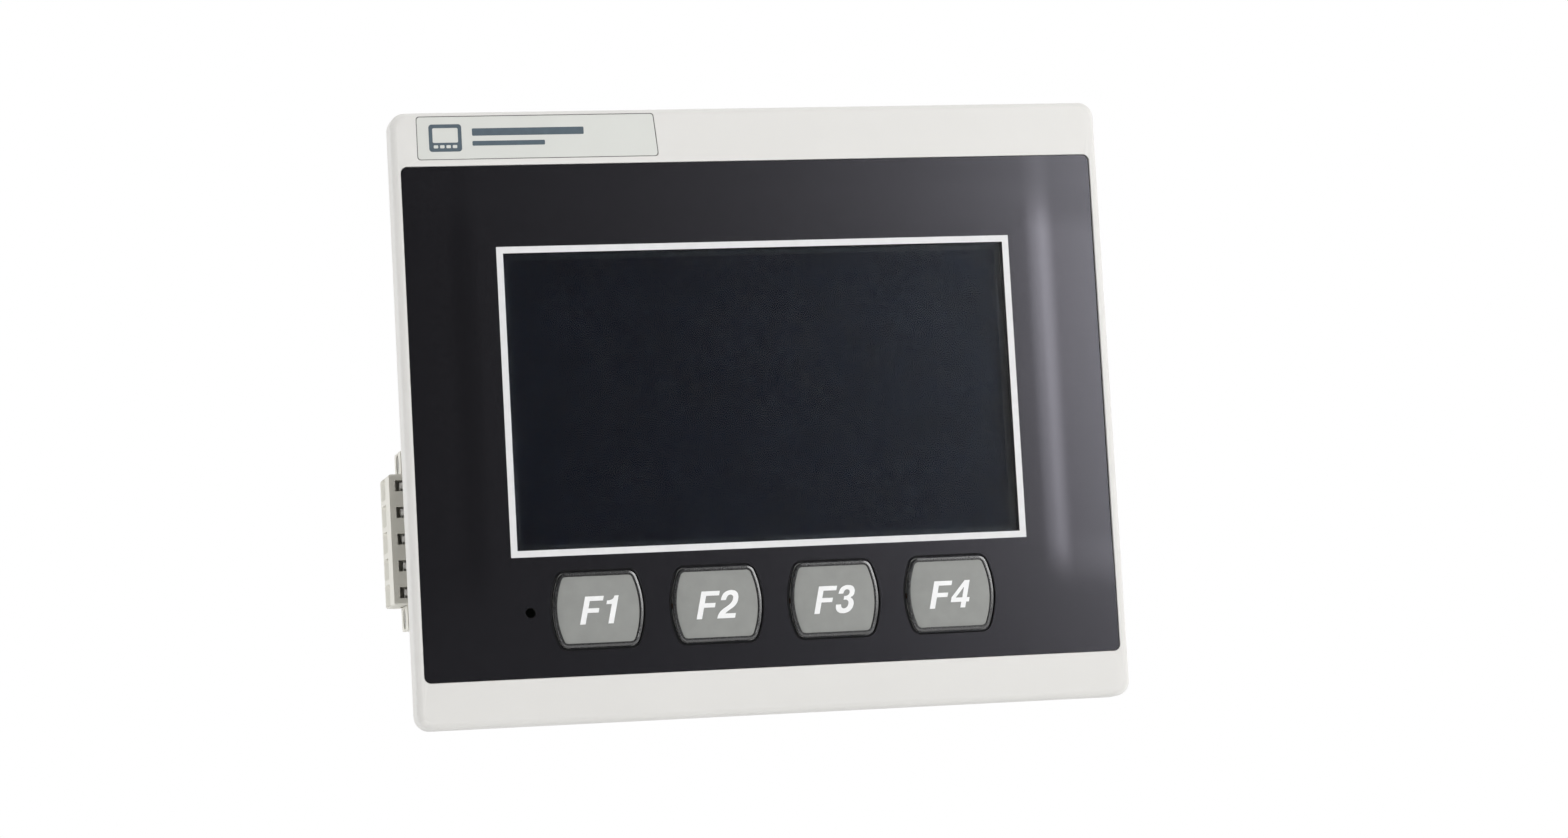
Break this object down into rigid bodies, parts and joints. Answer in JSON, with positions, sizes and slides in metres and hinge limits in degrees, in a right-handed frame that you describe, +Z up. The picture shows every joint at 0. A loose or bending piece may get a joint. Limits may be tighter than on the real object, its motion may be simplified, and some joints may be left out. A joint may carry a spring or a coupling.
{
  "type": "operator touch panel",
  "caption": "Panel-mounted operator terminal with a wide touch display, a row of sprung function keys and pluggable screw terminals.",
  "frame": {"origin": "centre of the panel cut-out, on the front surface of the panel that the bezel seals against", "axes": "+X to the user's right, +Y through the panel to the rear, +Z up"},
  "size_m": [0.1392, 0.0438, 0.116],
  "materials": {
    "bezel_plastic": "fine spark-eroded texture",
    "seal_foam": "closed-cell foam",
    "name_plate_plastic": "satin",
    "overlay_film": "satin polyester film",
    "window_film": "smooth clear film",
    "adhesive": "clear adhesive film",
    "lamp_lens": "tinted lens, unlit",
    "spring_steel": "stamped",
    "flex_circuit": "polyimide film",
    "touch_glass": "coated glass",
    "display_foam": "foam",
    "plated_steel": "tin plate",
    "panel_glass": "polarizer, unlit",
    "backlight_plastic": "moulded tray",
    "bracket_steel": "zinc plate",
    "screw_steel": "zinc plate",
    "cover_plastic": "fine texture",
    "label_film": "satin film, blank",
    "circuit_board": "solder mask",
    "chip_plastic": "epoxy",
    "capacitor_aluminium": "sleeved can",
    "jack_shell": "nickel plate",
    "black_plastic": "moulded",
    "cell_steel": "nickel plate",
    "terminal_plastic": "moulded polyamide",
    "tinned_contact": "tin plate",
    "cage_steel": "zinc plate",
    "key_film": "printed film"
  },
  "bodies": {
    "housing": {"front_bezel": "bezel_plastic", "panel_seal": "seal_foam", "name_plate": "name_plate_plastic", "front_overlay": "overlay_film", "overlay_window": "window_film", "overlay_adhesive": "adhesive", "status_led_lens": "lamp_lens", "snap_domes": "spring_steel", "keypad_circuit": "flex_circuit", "touch_screen": "touch_glass", "display_seal": "display_foam", "display_frame": "plated_steel", "display_glass": "panel_glass", "display_backlight": "backlight_plastic", "display_bracket": "bracket_steel", "bracket_screws": "screw_steel", "rear_cover": "cover_plastic", "rating_label": "label_film", "case_screws": "screw_steel", "main_board": "circuit_board", "board_screws": "screw_steel", "circuit_chips": "chip_plastic", "supply_components": "capacitor_aluminium", "ethernet_jack": "jack_shell", "serial_socket": "black_plastic", "usb_device_port": "jack_shell", "usb_host_port": "jack_shell", "card_socket": "jack_shell", "battery_holder": "black_plastic", "coin_cell": "cell_steel", "flex_cables": "flex_circuit", "comm_header": "terminal_plastic", "power_header": "terminal_plastic", "header_pins": "tinned_contact"},
    "key_f1": {"key_f1": "key_film"},
    "key_f2": {"key_f2": "key_film"},
    "key_f3": {"key_f3": "key_film"},
    "key_f4": {"key_f4": "key_film"},
    "comm_plug": {"comm_plug_body": "terminal_plastic", "comm_plug_contacts": "tinned_contact"},
    "comm_clamp_screw_1": {"comm_clamp_screw_1": "screw_steel"},
    "comm_clamp_cage_1": {"comm_clamp_cage_1": "cage_steel"},
    "comm_clamp_screw_2": {"comm_clamp_screw_2": "screw_steel"},
    "comm_clamp_cage_2": {"comm_clamp_cage_2": "cage_steel"},
    "comm_clamp_screw_3": {"comm_clamp_screw_3": "screw_steel"},
    "comm_clamp_cage_3": {"comm_clamp_cage_3": "cage_steel"},
    "comm_clamp_screw_4": {"comm_clamp_screw_4": "screw_steel"},
    "comm_clamp_cage_4": {"comm_clamp_cage_4": "cage_steel"},
    "comm_clamp_screw_5": {"comm_clamp_screw_5": "screw_steel"},
    "comm_clamp_cage_5": {"comm_clamp_cage_5": "cage_steel"},
    "power_plug": {"power_plug_body": "terminal_plastic", "power_plug_contacts": "tinned_contact"},
    "power_clamp_screw_1": {"power_clamp_screw_1": "screw_steel"},
    "power_clamp_cage_1": {"power_clamp_cage_1": "cage_steel"},
    "power_clamp_screw_2": {"power_clamp_screw_2": "screw_steel"},
    "power_clamp_cage_2": {"power_clamp_cage_2": "cage_steel"},
    "power_clamp_screw_3": {"power_clamp_screw_3": "screw_steel"},
    "power_clamp_cage_3": {"power_clamp_cage_3": "cage_steel"},
    "comm_flange_screw_lower": {"comm_flange_screw_lower": "screw_steel"},
    "comm_flange_screw_upper": {"comm_flange_screw_upper": "screw_steel"}
  },
  "joints": [
    {"name": "key_f1_press", "type": "slide", "parent": "housing", "child": "key_f1", "axis": [0, 1, 0], "range_m": [0, 0.0003], "stiffness_N_per_m": 6000, "deforming": ["snap_domes"]},
    {"name": "key_f2_press", "type": "slide", "parent": "housing", "child": "key_f2", "axis": [0, 1, 0], "range_m": [0, 0.0003], "stiffness_N_per_m": 6000, "deforming": ["snap_domes"]},
    {"name": "key_f3_press", "type": "slide", "parent": "housing", "child": "key_f3", "axis": [0, 1, 0], "range_m": [0, 0.0003], "stiffness_N_per_m": 6000, "deforming": ["snap_domes"]},
    {"name": "key_f4_press", "type": "slide", "parent": "housing", "child": "key_f4", "axis": [0, 1, 0], "range_m": [0, 0.0003], "stiffness_N_per_m": 6000, "deforming": ["snap_domes"]},
    {"name": "comm_plug_pull", "type": "slide", "parent": "housing", "child": "comm_plug", "axis": [-1, 0, 0], "range_m": [0, 0.012]},
    {"name": "comm_clamp_screw_1_turn", "type": "hinge", "parent": "comm_plug", "child": "comm_clamp_screw_1", "pos_m": [-0.0651, 0.021, -0.01089], "axis": [0, -1, 0], "range_deg": [0, 1730]},
    {"name": "comm_clamp_cage_1_lift", "type": "slide", "parent": "comm_plug", "child": "comm_clamp_cage_1", "axis": [0, 1, 0], "range_m": [0, 0.0024]},
    {"name": "comm_clamp_screw_2_turn", "type": "hinge", "parent": "comm_plug", "child": "comm_clamp_screw_2", "pos_m": [-0.0651, 0.021, -0.01597], "axis": [0, -1, 0], "range_deg": [0, 1730]},
    {"name": "comm_clamp_cage_2_lift", "type": "slide", "parent": "comm_plug", "child": "comm_clamp_cage_2", "axis": [0, 1, 0], "range_m": [0, 0.0024]},
    {"name": "comm_clamp_screw_3_turn", "type": "hinge", "parent": "comm_plug", "child": "comm_clamp_screw_3", "pos_m": [-0.0651, 0.021, -0.02105], "axis": [0, -1, 0], "range_deg": [0, 1730]},
    {"name": "comm_clamp_cage_3_lift", "type": "slide", "parent": "comm_plug", "child": "comm_clamp_cage_3", "axis": [0, 1, 0], "range_m": [0, 0.0024]},
    {"name": "comm_clamp_screw_4_turn", "type": "hinge", "parent": "comm_plug", "child": "comm_clamp_screw_4", "pos_m": [-0.0651, 0.021, -0.02613], "axis": [0, -1, 0], "range_deg": [0, 1730]},
    {"name": "comm_clamp_cage_4_lift", "type": "slide", "parent": "comm_plug", "child": "comm_clamp_cage_4", "axis": [0, 1, 0], "range_m": [0, 0.0024]},
    {"name": "comm_clamp_screw_5_turn", "type": "hinge", "parent": "comm_plug", "child": "comm_clamp_screw_5", "pos_m": [-0.0651, 0.021, -0.03121], "axis": [0, -1, 0], "range_deg": [0, 1730]},
    {"name": "comm_clamp_cage_5_lift", "type": "slide", "parent": "comm_plug", "child": "comm_clamp_cage_5", "axis": [0, 1, 0], "range_m": [0, 0.0024]},
    {"name": "power_plug_pull", "type": "slide", "parent": "housing", "child": "power_plug", "axis": [0, 0, -1], "range_m": [0, 0.012]},
    {"name": "power_clamp_screw_1_turn", "type": "hinge", "parent": "power_plug", "child": "power_clamp_screw_1", "pos_m": [-0.04108, 0.021, -0.0517], "axis": [0, -1, 0], "range_deg": [0, 1730]},
    {"name": "power_clamp_cage_1_lift", "type": "slide", "parent": "power_plug", "child": "power_clamp_cage_1", "axis": [0, 1, 0], "range_m": [0, 0.0024]},
    {"name": "power_clamp_screw_2_turn", "type": "hinge", "parent": "power_plug", "child": "power_clamp_screw_2", "pos_m": [-0.036, 0.021, -0.0517], "axis": [0, -1, 0], "range_deg": [0, 1730]},
    {"name": "power_clamp_cage_2_lift", "type": "slide", "parent": "power_plug", "child": "power_clamp_cage_2", "axis": [0, 1, 0], "range_m": [0, 0.0024]},
    {"name": "power_clamp_screw_3_turn", "type": "hinge", "parent": "power_plug", "child": "power_clamp_screw_3", "pos_m": [-0.03092, 0.021, -0.0517], "axis": [0, -1, 0], "range_deg": [0, 1730]},
    {"name": "power_clamp_cage_3_lift", "type": "slide", "parent": "power_plug", "child": "power_clamp_cage_3", "axis": [0, 1, 0], "range_m": [0, 0.0024]},
    {"name": "comm_flange_screw_lower_turn", "type": "hinge", "parent": "comm_plug", "child": "comm_flange_screw_lower", "pos_m": [-0.0652, 0.0178, -0.03585], "axis": [1, 0, 0], "continuous": true},
    {"name": "comm_flange_screw_upper_turn", "type": "hinge", "parent": "comm_plug", "child": "comm_flange_screw_upper", "pos_m": [-0.0652, 0.0178, -0.00625], "axis": [1, 0, 0], "continuous": true}
  ],
  "couplings": [
    {"joint": "comm_clamp_screw_1_turn", "follows": "comm_clamp_cage_1_lift", "rad_per_m": 12566},
    {"joint": "comm_clamp_screw_2_turn", "follows": "comm_clamp_cage_2_lift", "rad_per_m": 12566},
    {"joint": "comm_clamp_screw_3_turn", "follows": "comm_clamp_cage_3_lift", "rad_per_m": 12566},
    {"joint": "comm_clamp_screw_4_turn", "follows": "comm_clamp_cage_4_lift", "rad_per_m": 12566},
    {"joint": "comm_clamp_screw_5_turn", "follows": "comm_clamp_cage_5_lift", "rad_per_m": 12566},
    {"joint": "power_clamp_screw_1_turn", "follows": "power_clamp_cage_1_lift", "rad_per_m": 12566},
    {"joint": "power_clamp_screw_2_turn", "follows": "power_clamp_cage_2_lift", "rad_per_m": 12566},
    {"joint": "power_clamp_screw_3_turn", "follows": "power_clamp_cage_3_lift", "rad_per_m": 12566}
  ]
}
